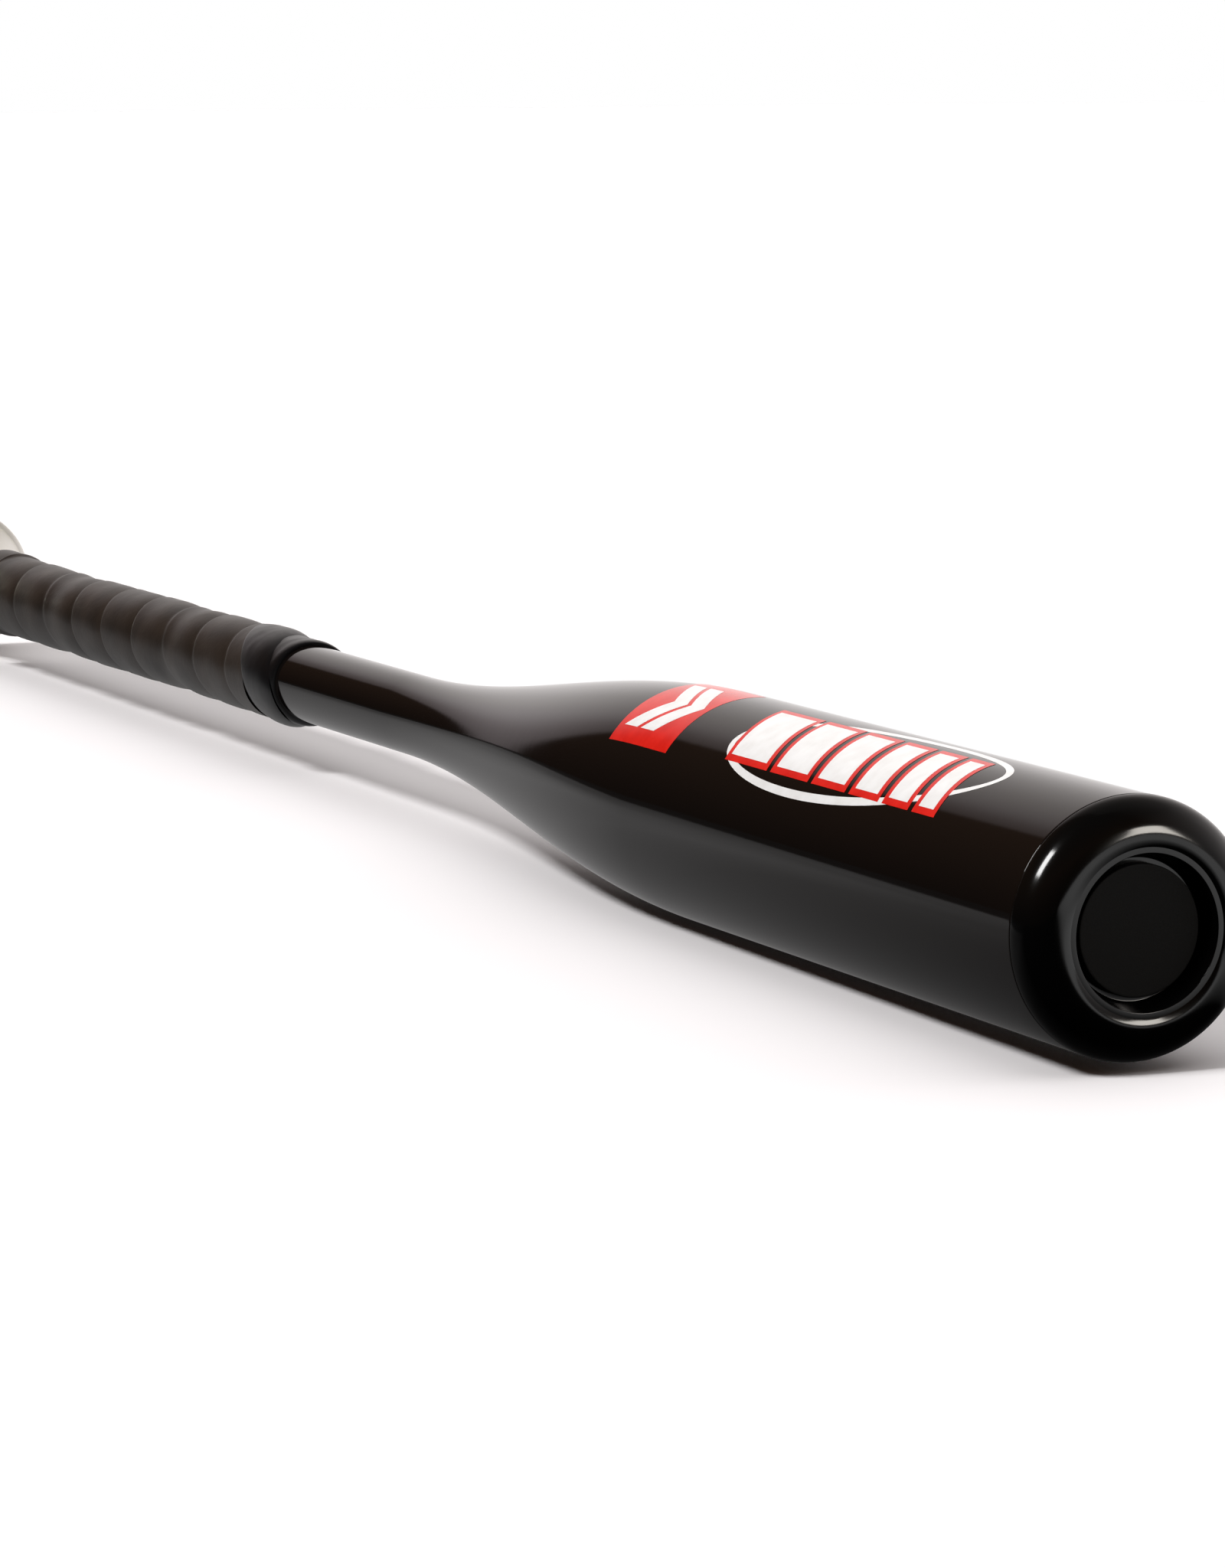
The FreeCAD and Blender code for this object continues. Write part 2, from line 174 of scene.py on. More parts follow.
room = add_node(
    tree, "ShaderNodeVectorMath", {"operation": "MULTIPLY_ADD", 1: [WALL_STRENGTH] * 3},
    {0: bright.outputs[0], 2: room_height})
path = add_node(tree, "ShaderNodeLightPath")
seen = add_node(tree, "ShaderNodeBackground", {"Color": linear("ffffff"), "Strength": 1.0})
lit = add_node(tree, "ShaderNodeBackground", {"Strength": 1.0}, {"Color": room.outputs[0]})
mixed = add_node(
    tree, "ShaderNodeMixShader", {},
    {0: path.outputs["Is Camera Ray"], 1: lit.outputs[0], 2: seen.outputs[0]})
add_node(tree, "ShaderNodeOutputWorld", {}, {"Surface": mixed.outputs[0]})
print("the wall's edge is at", WALL_STOPS[0][0], "degrees")


# %% [markdown]
# Lamps help the room. Two suns with very broad discs light the floor evenly however far away it is: one from
# the window's side, which throws the shadow behind the bat, and a ceiling that softens it. A window on the
# left puts the one sharp glint on the cap's shoulder. A soft box beyond the barrel's end lights the round of
# the cap's lip, and a white card brightens the knob alone.


# %% Add the lamps
def add_lamp(name, place, aim, size, power, colour):
    """A square area lamp that the camera doesn't see."""
    bpy.ops.object.light_add(type="AREA", location=place)
    lamp = bpy.context.object
    lamp.name = name
    lamp.rotation_euler = (Vector(aim) - Vector(place)).to_track_quat("-Z", "Y").to_euler()
    lamp.data.shape = "RECTANGLE"
    lamp.data.size, lamp.data.size_y = size
    lamp.data.energy = power
    lamp.data.color = linear(colour)[:3]
    lamp.visible_camera = False
    return lamp


cap_middle = Vector((CREST * MM, 0, 0))
WINDOW_WAY = Vector((0.0, -0.729, 0.684))
WINDOW_DISTANCE = 1.8
SOFT_BOX_WAY = Vector((0.847, 0.489, 0.208))
SOFT_BOX_DISTANCE = 2.2
CARD_PLACE = Vector((0.55, -0.55, 0.7))
SKIES = {
    "window_side": (Vector((0.0, -0.643, 0.766)), math.radians(14), 2.4),
    "white_ceiling": (Vector((-0.1, 0.2, 0.97)), math.radians(80), 1.45),
}
for name, (way, breadth, power) in SKIES.items():
    bpy.ops.object.light_add(type="SUN", location=way * 3)
    sky = bpy.context.object
    sky.name = name
    sky.rotation_euler = way.to_track_quat("Z", "Y").to_euler()
    sky.data.energy = power
    sky.data.angle = breadth
    sky.visible_glossy = False
window_place = cap_middle + WINDOW_WAY * WINDOW_DISTANCE
window = add_lamp("window", window_place, cap_middle, (0.42, 0.6), 18, "ffffff")
soft_box_place = cap_middle + SOFT_BOX_WAY * SOFT_BOX_DISTANCE
soft_box = add_lamp("soft_box", soft_box_place, cap_middle, (0.42, 0.62), 11, "fff9f0")
card = add_lamp("card", CARD_PLACE, (0, 0, 0), (0.9, 0.9), 70, "fbfff0")
print("lamps:", *SKIES, window.name, soft_box.name, card.name)

# %% [markdown]
# ## Floor
# The bat lies on two rings: the knob's rim and the wide end of the taper. The floor touches both, so it
# slopes a little against the bat's axis. It is plain white to the eye. Reflections and the light thrown
# back at the bat see instead a glowing sheet of painted light and shade: it glows brightest beside the grip's
# end, darker along the barrel where the bat's own shade falls and black past the cap, goes dark past a table
# edge on the left, and runs into a white wall behind the bat.

# %% Lay the floor
TAPER_START = 427.2
TAPER_LENGTH = 204.0
TAPER_END = TAPER_START + TAPER_LENGTH
RIM_PLACE = 4.5
FLOOR_SIZE = 16
GLOW_ALONG = (-0.2, 0.9)      # metres along the bat that the first row of greys is spread over
GLOW_ACROSS = (-0.4, 0.1)     # metres across it for the second row
# Painted light and shade: how bright the floor glows, brightest beside the grip's end and darker under the
# barrel.
GLOW_ALONG_STOPS = [
    (0.05, "d4d3d3"), (0.35, "f9f8f8"), (0.52, "e8e7e7"), (0.62, "b9b8b8"), (0.8, "7c7b7b"), (0.84, "000000"),
]
GLOW_ACROSS_STOPS = [(-0.36, "4b4a4a"), (-0.335, "cecdcd"), (-0.19, "d3d2d2"), (-0.1, "fffefe")]
BEYOND_STOPS = [(0.04, "000000"), (0.1, "ffffff")]
GLOW_POWER = 0.45

slope = (BARREL_RADIUS - KNOB_RADIUS) / (TAPER_END - RIM_PLACE)
floor_middle = (TAPER_END * MM, 0, -BARREL_RADIUS * MM)
bpy.ops.mesh.primitive_plane_add(size=FLOOR_SIZE, location=floor_middle, rotation=(0, math.atan(slope), 0))
floor = bpy.context.object
floor.name = "floor"
paper = bpy.data.materials.new("white_paper")
paper.use_nodes = True
tree = paper.node_tree
tree.nodes.clear()
path = add_node(tree, "ShaderNodeLightPath")
plain = add_node(tree, "ShaderNodeBsdfDiffuse", {"Color": linear("f7f4f5")})
place = add_node(tree, "ShaderNodeNewGeometry").outputs["Position"]
split = add_node(tree, "ShaderNodeSeparateXYZ", {}, {"Vector": place})
greys = []
for axis, limits, stops in (("X", GLOW_ALONG, GLOW_ALONG_STOPS), ("Y", GLOW_ACROSS, GLOW_ACROSS_STOPS)):
    ends = {"From Min": limits[0], "From Max": limits[1]}
    share = add_node(tree, "ShaderNodeMapRange", ends, {"Value": split.outputs[axis]})
    greys.append(add_ramp(tree, share.outputs[0], shares(stops, limits)))
painted_glow = add_node(tree, "ShaderNodeVectorMath", {"operation": "MULTIPLY"}, {0: greys[0], 1: greys[1]})
beyond = add_ramp(tree, share.outputs[0], shares(BEYOND_STOPS, GLOW_ACROSS))
whole = add_node(
    tree, "ShaderNodeVectorMath", {"operation": "MULTIPLY_ADD", 1: [GLOW_POWER] * 3},
    {0: painted_glow.outputs[0], 2: beyond})
# Every ray but the camera's sees the floor glow with these painted greys instead of lit paper.
painted_floor_glow = add_node(tree, "ShaderNodeEmission", {"Strength": 1.0}, {"Color": whole.outputs[0]})
mixed = add_node(
    tree, "ShaderNodeMixShader", {},
    {0: path.outputs["Is Camera Ray"], 1: painted_floor_glow.outputs[0], 2: plain.outputs[0]})
add_node(tree, "ShaderNodeOutputMaterial", {}, {"Surface": mixed.outputs[0]})
floor.data.materials.append(paper)
print("the floor slopes", round(math.degrees(slope), 3), "degrees")

# %% [markdown]
# ## Tools for turned pieces
# The tube, the knob and the cap are all round about one axis, so they are made as a turner makes them: an
# outline of (x, radius) points is drawn one vertex at a time and spun about the axis. Merging the doubles
# closes the seam and the poles, and then the faces are turned outwards.

# %% Select, draw and spin
SPIN_STEPS = 192
MERGE = 1e-6


def clear_selection():
    """Leave edit mode with nothing selected, so that an operator acts on one piece only."""
    if bpy.context.mode != "OBJECT":
        bpy.ops.object.mode_set(mode="OBJECT")
    bpy.ops.object.select_all(action="DESELECT")


def work_on(piece):
    """Make one piece the only selected one."""
    clear_selection()
    piece.select_set(True)
    bpy.context.view_layer.objects.active = piece


def select_parts(piece, kind, test):
    """In edit mode, select the VERT, EDGE or FACE parts whose corners, in millimetres, all pass the test."""
    bpy.ops.object.mode_set(mode="EDIT")
    bpy.ops.mesh.select_mode(type=kind)
    bpy.ops.mesh.select_all(action="DESELECT")
    bpy.ops.object.mode_set(mode="OBJECT")
    mesh = piece.data
    passed = [test(vertex.co / MM) for vertex in mesh.vertices]
    if kind == "VERT":
        for vertex, chosen in zip(mesh.vertices, passed):
            vertex.select = chosen
    else:
        for part in mesh.edges if kind == "EDGE" else mesh.polygons:
            part.select = all(passed[i] for i in part.vertices)
    bpy.ops.object.mode_set(mode="EDIT")


def radius_of(point):
    return math.hypot(point.y, point.z)


def draw_outline(name, outline):
    """A new piece that holds the outline as a chain of vertices in the XY plane, left in edit mode."""
    clear_selection()
    bpy.ops.mesh.primitive_plane_add(size=MM)
    piece = bpy.context.object
    piece.name = name
    bpy.ops.object.mode_set(mode="EDIT")
    bpy.ops.mesh.select_mode(type="VERT")
    bpy.ops.mesh.merge(type="CENTER")
    bpy.ops.transform.translate(value=Vector((*outline[0], 0)) * MM)
    for before, after in zip(outline, outline[1:]):
        step = Vector((after[0] - before[0], after[1] - before[1], 0)) * MM
        bpy.ops.mesh.extrude_vertices_move(TRANSFORM_OT_translate={"value": step})
    return piece


def tidy_mesh():
    """Merge doubles and turn the faces outwards, in edit mode."""
    bpy.ops.mesh.select_all(action="SELECT")
    bpy.ops.mesh.remove_doubles(threshold=MERGE)
    bpy.ops.mesh.normals_make_consistent(inside=False)


def smooth(piece, degrees=35):
    """Shade smooth, with a crease wherever the surface turns by more than the angle."""
    work_on(piece)
    bpy.ops.object.shade_smooth_by_angle(angle=math.radians(degrees))


def turned(name, outline):
    """Spin an outline about the bat's axis into a closed shape."""
    piece = draw_outline(name, outline)
    bpy.ops.mesh.select_all(action="SELECT")
    bpy.ops.mesh.spin(steps=SPIN_STEPS, angle=2 * math.pi, center=(0, 0, 0), axis=(1, 0, 0))
    tidy_mesh()
    bpy.ops.object.mode_set(mode="OBJECT")
    return piece


def soften_ring(piece, x, radius, size, segments=4):
    """Bevel the ring edge at one place along the bat and one radius."""
    near = size / 4
    select_parts(piece, "EDGE", lambda p: abs(p.x - x) < near and abs(radius_of(p) - radius) < near)
    bpy.ops.mesh.bevel(offset=size * MM, segments=segments, affect="EDGES")
    bpy.ops.object.mode_set(mode="OBJECT")


def spread(start, end, count):
    """Evenly spaced values from start to end, both included."""
    return [start + (end - start) * i / count for i in range(count + 1)]


def bend(centre, axial, radial, first, last, count):
    """Points on an ellipse in the outline's plane. 0 degrees points along the bat and 90 outwards."""
    angles = [math.radians(a) for a in spread(first, last, count)]
    return [(centre[0] + axial * math.cos(a), centre[1] + radial * math.sin(a)) for a in angles]


def report(piece):
    low = [min(v.co[i] for v in piece.data.vertices) / MM for i in range(3)]
    high = [max(v.co[i] for v in piece.data.vertices) / MM for i in range(3)]
    print(piece.name, "faces", len(piece.data.polygons), "from", [round(v, 2) for v in low],
          "to", [round(v, 2) for v in high])


# %% [markdown]
# ## Tube
# The real tube is drawn aluminium, rolled down from the barrel to the handle, so its wall is thin all the
# way and thickens a little at the handle. The taper follows half a cosine wave, which meets both straight
# parts without a corner. A gloss surface shows every flat spot, so the taper has many rings, and each
# straight part has a ring close to its ends to keep the shading straight.

# %% Spin the tube
BARREL_WALL = 2.0
HANDLE_WALL = 2.4
TUBE_EDGE = 0.35
WELD_DEPTH = 1.6
TAPER_RINGS = 56
BARREL_RINGS = 16
HANDLE_RINGS = 12


def taper_radius(x, small, large):
    """Radius of a surface that swells from the handle to the barrel."""
    along = min(max((x - TAPER_START) / TAPER_LENGTH, 0), 1)
    return (small + large) / 2 - (large - small) / 2 * math.cos(math.pi * along)


def surface_radius(x):
    return taper_radius(x, HANDLE_RADIUS, BARREL_RADIUS)


def bore_radius(x):
    return taper_radius(x, HANDLE_RADIUS - HANDLE_WALL, BARREL_RADIUS - BARREL_WALL)


stations = spread(weld_end, TAPER_START, HANDLE_RINGS) + spread(TAPER_START, TAPER_END, TAPER_RINGS)[1:]
stations += spread(TAPER_END, SEAM - 2 * TUBE_EDGE, BARREL_RINGS)[1:] + [SEAM]
outside = [(x, surface_radius(x)) for x in stations]
inside = [(x, bore_radius(x)) for x in reversed(stations)]
weld_root = HANDLE_RADIUS - WELD_DEPTH
outline = outside + inside + [(tube_start, bore_radius(0)), (tube_start, weld_root), outside[0]]
tube = turned("tube", outline)
soften_ring(tube, SEAM, BARREL_RADIUS, TUBE_EDGE)
smooth(tube)
report(tube)

# %% [markdown]
# ## Knob
# The knob is turned from bar: a flat end face, a rounded rim and a long flare that meets the handle
# without a corner. Its shank goes into the tube, and a weld joins them under the tape.

# %% Turn the knob
KNOB_EDGE = 3.0
RIM_END = 6.0
FLARE_START = (9.5, 21.6)
SHANK_GAP = 0.05
SHANK_CHAMFER = 1.0

flare_run = weld_start - FLARE_START[0]
flare_rise = FLARE_START[1] - HANDLE_RADIUS
flare_radius = (flare_run ** 2 + flare_rise ** 2) / (2 * flare_rise)
flare_angle = math.degrees(math.asin(flare_run / flare_radius))
flare_centre = (weld_start, HANDLE_RADIUS + flare_radius)
shank = HANDLE_RADIUS - HANDLE_WALL - SHANK_GAP
outline = [(0, 0)] + [(0, r) for r in spread(4, KNOB_RADIUS - KNOB_EDGE, 6)]
outline += bend((KNOB_EDGE, KNOB_RADIUS - KNOB_EDGE), KNOB_EDGE, KNOB_EDGE, 180, 90, 8)[1:]
outline += [(RIM_END, KNOB_RADIUS)]
rim_run, rim_rise = FLARE_START[0] - RIM_END, KNOB_RADIUS - FLARE_START[1]
outline += bend((RIM_END, FLARE_START[1]), rim_run, rim_rise, 90, 30, 6)[1:]
outline += bend(flare_centre, flare_radius, flare_radius, 270 - flare_angle, 270, 24)
outline += [(tube_start, weld_root), (tube_start, shank), (shank_end - SHANK_CHAMFER, shank)]
outline += [(shank_end, shank - SHANK_CHAMFER), (shank_end, 0)]
knob = turned("turned_knob", outline)
smooth(knob)
report(knob)

# %% [markdown]
# ## End cap
# The cap is one black moulding. A full round shoulder carries on from the barrel, its crest rolls over
# gently to a nearly flat ledge, and the middle is recessed with a groove round the disc. The skirt inside the
# barrel has barbs, so the cap can be pushed in but not pulled out. The barrel's edge and the cap's are
# both eased, and the hair line between them is that little valley.

# %% Mould the cap
SHOULDER_AXIAL = CREST - SEAM
CREST_RADIUS = 20.3
LIP_ROUND = 6.1
LIP_RUN = 2.1
LEDGE_INNER = (0.4, 16.9)
LEDGE_DRAFT = 1.4
LEDGE_EDGE = 0.15
GROOVE_FILLET = 0.3
GROOVE_DEPTH = 6.5
SPIGOT = (5.0, 1.2)            # radius and depth of the hole for the disc's peg
DISC_SEAT = 14.3
WEB = 3.0
SKIRT_RADIUS = 26.1
SKIRT_WALL = 2.7
SKIRT_LENGTH = 20.0
SKIRT_LEAD = 1.0
BARB_COUNT = 3
BARB_PITCH = 3.0
BARB_RADIUS = 26.5
CAP_EDGE = 0.3

groove_floor = CREST - GROOVE_DEPTH
seat = groove_floor - SPIGOT[1]
back = groove_floor - WEB
skirt_end = SEAM - SKIRT_LENGTH
outline = [(seat, 0), (seat, SPIGOT[0]), (groove_floor, SPIGOT[0]), (groove_floor, DISC_SEAT)]
wall_foot = LEDGE_INNER[1] - LEDGE_DRAFT
fillet_centre = (groove_floor + GROOVE_FILLET, wall_foot - GROOVE_FILLET)
outline += bend(fillet_centre, GROOVE_FILLET, GROOVE_FILLET, 180, 90, 9)
ledge_inner = (CREST - LEDGE_INNER[0], LEDGE_INNER[1])
edge_centre = (ledge_inner[0] - LEDGE_EDGE, ledge_inner[1] + LEDGE_EDGE)
outline += bend(edge_centre, LEDGE_EDGE, LEDGE_EDGE, 270, 360, 9)
for run in spread(LIP_RUN, 0, 14):
    outline.append((CREST - LIP_ROUND + math.sqrt(LIP_ROUND ** 2 - run ** 2), CREST_RADIUS - run))
shoulder_centre = (SEAM, CREST_RADIUS)
outline += bend(shoulder_centre, SHOULDER_AXIAL, BARREL_RADIUS - CREST_RADIUS, 0, 90, 40)[1:]
outline += [(SEAM, SKIRT_RADIUS)]
for i in reversed(range(BARB_COUNT)):
    x = skirt_end + SKIRT_LEAD + i * BARB_PITCH
    outline += [(x + BARB_PITCH / 2, SKIRT_RADIUS), (x + BARB_PITCH / 2, BARB_RADIUS), (x, SKIRT_RADIUS)]
outline += [(skirt_end, SKIRT_RADIUS), (skirt_end, SKIRT_RADIUS - SKIRT_WALL)]
outline += [(back, SKIRT_RADIUS - SKIRT_WALL), (back, 0)]
cap = turned("moulded_cap", outline)
soften_ring(cap, SEAM, BARREL_RADIUS, CAP_EDGE, segments=8)
smooth(cap, 14)
report(cap)

# %% [markdown]
# The disc is a separate matt piece, held in the cap by a small peg. Its rim is chamfered, and that narrow
# ring is what catches the light.

# %% Make the disc
_, disc_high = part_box("cap_centre_disc")
DISC_FACE = disc_high.x / MM
DISC_RADIUS = disc_high.y / MM
DISC_CHAMFER = 0.3
outline = [(seat, 0), (seat, SPIGOT[0]), (groove_floor, SPIGOT[0]), (groove_floor, DISC_RADIUS)]
outline += [(x, DISC_RADIUS) for x in (groove_floor + 0.4, DISC_FACE - 0.7)]
outline += [(DISC_FACE, DISC_RADIUS)] + [(DISC_FACE, r) for r in spread(DISC_RADIUS - 0.7, 0, 8)]
disc = turned("centre_disc", outline)
soften_ring(disc, DISC_FACE, DISC_RADIUS, DISC_CHAMFER, segments=3)
smooth(disc)
report(disc)

# %% [markdown]
# ## Grip
# Soft tape is wound round the handle from the knob towards the barrel. Each turn lies on the one before, so
# its edge stands up as a ridge and then slopes down to the next. One turn's section is drawn and a Screw
# modifier winds it: every turn starts where the last one ended, and the doubles merge into one skin.
# The winding runs past both ends, and Bisect trims it to length.

# %% Wind the tape
TURN_PITCH = 29.0
TURN_STEPS = 120
TAPE_LOW = 12.15
TAPE_HIGH = 13.05
LAP = 3.0
LAP_HOLD = 5                   # how long a turn stays high before it dips under the next
PHASE = 3.2

section = []
for share_of_lap in spread(0, 1, 9):
    rise = math.sin(math.pi / 2 * share_of_lap)
    section.append((LAP * share_of_lap, TAPE_LOW + (TAPE_HIGH - TAPE_LOW) * rise))
for share_of_turn in spread(LAP / TURN_PITCH, 1, 24)[1:]:
    fall = (share_of_turn - LAP / TURN_PITCH) / (1 - LAP / TURN_PITCH)
    section.append((TURN_PITCH * share_of_turn, TAPE_HIGH - (TAPE_HIGH - TAPE_LOW) * fall ** LAP_HOLD))
start = GRIP_START - 2 * TURN_PITCH + PHASE
wrap = draw_outline("wound_grip", [(start + x, r) for x, r in section])
bpy.ops.object.mode_set(mode="OBJECT")
turns = math.ceil((GRIP_END - start) / TURN_PITCH) + 1
winding = wrap.modifiers.new("winding", "SCREW")
winding.axis = "X"
winding.angle = 2 * math.pi
winding.screw_offset = TURN_PITCH * MM
winding.iterations = turns
winding.steps = TURN_STEPS
winding.render_steps = TURN_STEPS
work_on(wrap)
bpy.ops.object.modifier_apply(modifier="winding")
bpy.ops.object.mode_set(mode="EDIT")
bpy.ops.mesh.select_all(action="SELECT")
bpy.ops.mesh.remove_doubles(threshold=10 * MERGE)
for place, outwards in ((GRIP_START, -1), (GRIP_END, 1)):
    bpy.ops.mesh.select_all(action="SELECT")
    bpy.ops.mesh.bisect(plane_co=(place * MM, 0, 0), plane_no=(outwards, 0, 0), clear_outer=True)
bpy.ops.object.mode_set(mode="OBJECT")
report(wrap)

# %% [markdown]
# A tape pulled by hand is never even. The first turn is doubled at the knob, the turns crowd together
# towards the barrel, and some laps stand higher than others, so the points of the skin are eased along and
# outwards by smooth waves. The ends are then closed on to the underlay with a bridge.

# %% Loosen the winding
DOUBLED_RISE = 0.9
DOUBLED_END = 14.0
DOUBLED_FALL = 0.6
LAP_SWAY = 0.12
WEAK_DROP = 0.75
CROWDING = 0.06
WEAK_LAPS = (134, 248)
WEAK_REACH = 9.0


def hand_wound(point):
    """Where a point of an even winding goes on a winding made by hand, in millimetres."""
    length = GRIP_END - GRIP_START
    along = (point.x - GRIP_START) / length
    angle = math.atan2(point.z, point.y)
    radius = radius_of(point)
    weak = sum(math.exp(-((point.x - place) / WEAK_REACH) ** 2) for place in WEAK_LAPS)
    lap_height = (radius - TAPE_LOW) * (LAP_SWAY * math.sin(along * 9.0 + angle) - WEAK_DROP * weak)
    soft = 0.05 * math.sin(along * 41 + 2 * angle) + 0.04 * math.sin(along * 67 - 3 * angle)
    doubled = DOUBLED_RISE * (1 - math.tanh((point.x - GRIP_START - DOUBLED_END) / DOUBLED_FALL)) / 2
    radius += lap_height + soft + doubled
    x = GRIP_START + length * (along + CROWDING * along * (1 - along))
    return Vector((x, radius * math.cos(angle), radius * math.sin(angle)))


for vertex in wrap.data.vertices:
    vertex.co = hand_wound(vertex.co / MM) * MM
work_on(wrap)
bpy.ops.object.mode_set(mode="EDIT")
bpy.ops.mesh.select_all(action="DESELECT")
bpy.ops.mesh.primitive_cylinder_add(
    vertices=TURN_STEPS, radius=UNDERLAY_RADIUS * MM, depth=(GRIP_END - GRIP_START) * MM,
    end_fill_type="NOTHING",
    location=((GRIP_START + GRIP_END) / 2 * MM, 0, 0), rotation=(0, math.pi / 2, 0))
for place in (GRIP_START, GRIP_END):
    select_parts(wrap, "EDGE", lambda p: abs(p.x - place) < 0.001)
    bpy.ops.mesh.bridge_edge_loops()
tidy_mesh()
bpy.ops.object.mode_set(mode="OBJECT")
smooth(wrap, 40)
report(wrap)

# %% [markdown]
# ## Finishing tape
# Black PVC tape ties down the end of the grip. Its first turns bulge over the wrap's end and its last turn
# lies flat on the bare tube. Both are spun and then slanted, as a tape wound by hand runs, and a Displace
# modifier with a soft cloud texture gives the little waves of tape that was stretched as it went on.

# %% Wind the finishing tape
TAIL_FADE = 4.0       # the last turn is stretched thin towards its edge
TAIL_END_RADIUS = 11.7
TAPE_WAVE = 0.22
TAIL_SHORT = 6.0
TAIL_SLANT = 2.0      # how far the tape's last edge runs off true, because it was wound at a slant
RIDGE_SLANT = (9.0, 7.5)
RIDGE_WIDTH = (0.8, 0.18)      # share of the full width, and how much wider it is on top
RIDGE_DOME = 2.6


def round_angle(vertex):
    return math.atan2(vertex.co.z, vertex.co.y)


tail_outline = [(GRIP_END, HANDLE_RADIUS), (GRIP_END, TAIL_RADIUS - 0.1)]
tail_outline += [(x, TAIL_RADIUS - 0.05 + 0.05 * math.sin(x)) for x in spread(GRIP_END + 2, TAIL_END - 5, 10)]
fade_drop = TAIL_RADIUS - TAIL_END_RADIUS
tail_outline += bend((TAIL_END - TAIL_FADE, TAIL_END_RADIUS), TAIL_FADE, fade_drop, 90, 0, 8)
tail_outline += [(TAIL_END, HANDLE_RADIUS), (GRIP_END, HANDLE_RADIUS)]
tail = turned("tape_tail", tail_outline)
for vertex in tail.data.vertices:
    share = (vertex.co.x / MM - GRIP_END) / (TAIL_END - GRIP_END)
    vertex.co.x += (TAIL_SLANT * math.cos(round_angle(vertex)) - TAIL_SHORT) * share * MM

ridge_middle = (RIDGE_START + RIDGE_END) / 2
half = (RIDGE_END - RIDGE_START) / 2
ridge_outline = [(RIDGE_START, TAPE_HIGH)]
for share_across in spread(-0.94, 0.94, 22):
    dome = 1 - abs(share_across) ** RIDGE_DOME
    base = TAPE_HIGH + 0.25 - (TAPE_HIGH - TAIL_RADIUS + 0.25) * (share_across + 1) / 2
    ridge_outline.append((ridge_middle + half * share_across, base + (RIDGE_RADIUS - base) * dome))
ridge_outline += [(RIDGE_END, TAIL_RADIUS - 0.05), (RIDGE_START, TAIL_RADIUS - 0.05), ridge_outline[0]]
ridge = turned("tape_ridge", ridge_outline)
for vertex in ridge.data.vertices:
    across, up = math.cos(round_angle(vertex)), math.sin(round_angle(vertex))
    width = RIDGE_WIDTH[0] + RIDGE_WIDTH[1] * up
    vertex.co.x = (vertex.co.x - ridge_middle * MM) * width
    vertex.co.x += (ridge_middle - RIDGE_SLANT[0] * across - RIDGE_SLANT[1] * up) * MM

clouds = bpy.data.textures.new("stretched_tape", "CLOUDS")
clouds.noise_scale = 9 * MM
clouds.noise_depth = 1
for piece in (tail, ridge):
    work_on(piece)
    waves = piece.modifiers.new("waves", "DISPLACE")
    waves.texture = clouds
    waves.texture_coords = "LOCAL"
    waves.strength = TAPE_WAVE * MM
    bpy.ops.object.modifier_apply(modifier="waves")
    smooth(piece, 50)
    report(piece)

# %% [markdown]
# ## Graphics
# The graphics are printed films, far thinner than paper. Each is drawn flat, with x along the bat and y as
# the distance round it, cut to shape, divided finely and then rolled on to the barrel by turning distance
# into angle. A Solidify modifier gives the film its thickness. The prints lie on each other in layers.

# %% Tools for printed films
FILM = 0.04
GRAPHIC_ANGLE = 118.5


def flat_patch(name, centre, size, lean=0.0):
    """A flat four-cornered film, in edit mode. Its top edge is moved along the bat by the lean."""
    clear_selection()
    bpy.ops.mesh.primitive_plane_add(size=1, location=(0, 0, 0))
    patch = bpy.context.object
    patch.name = name
    bpy.ops.object.mode_set(mode="EDIT")
    bpy.ops.mesh.select_mode(type="VERT")
    bpy.ops.transform.resize(value=(size[0] * MM, size[1] * MM, 1))
    bpy.ops.transform.translate(value=(centre[0] * MM, centre[1] * MM, 0))
    select_parts(patch, "VERT", lambda p: p.y > centre[1])
    bpy.ops.transform.translate(value=(lean * MM, 0, 0))
    return patch


def divide(cuts):
    bpy.ops.mesh.select_all(action="SELECT")
    bpy.ops.mesh.subdivide(number_cuts=cuts)
    bpy.ops.object.mode_set(mode="OBJECT")


def join(pieces, name):
    work_on(pieces[0])
    for piece in pieces[1:]:
        piece.select_set(True)
    if len(pieces) > 1:
        bpy.ops.object.join()
    pieces[0].name = name
    return pieces[0]


def roll_on(film, layer, angle=GRAPHIC_ANGLE):
    """Roll a flat film on to the barrel at a layer, centred on an angle round it, and give it thickness."""
    for vertex in film.data.vertices:
        x, distance = vertex.co.x / MM, vertex.co.y / MM
        radius = surface_radius(x) + FILM * layer
        turn_by = math.radians(angle) - distance / surface_radius(x)
        vertex.co = Vector((x, radius * math.cos(turn_by), radius * math.sin(turn_by))) * MM
    work_on(film)
    bpy.ops.object.mode_set(mode="EDIT")
    tidy_mesh()
    bpy.ops.object.mode_set(mode="OBJECT")
    middle = film.data.polygons[0]
    if Vector((0, middle.center.y, middle.center.z)).dot(middle.normal) < 0:
        film.data.flip_normals()
    thickness = film.modifiers.new("film", "SOLIDIFY")
    thickness.thickness = FILM * MM
    thickness.offset = 1
    bpy.ops.object.modifier_apply(modifier="film")
    smooth(film, 30)
    report(film)
    return film


# %% [markdown]
# The red panel lies where the taper runs into the barrel. It carries a plain white sign, two chevrons that
# point to the barrel's end, each made of two leaning strokes.

# %% Print the panel and its chevrons
panel_low, panel_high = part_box("shoulder_panel")
PANEL_X = (panel_low.x / MM, panel_high.x / MM)
PANEL_ANGLES = (84.0, 145.0)
CHEVRON_HEIGHT = 21.0
CHEVRON_STROKE = 7.5
CHEVRON_GAP = 2.2

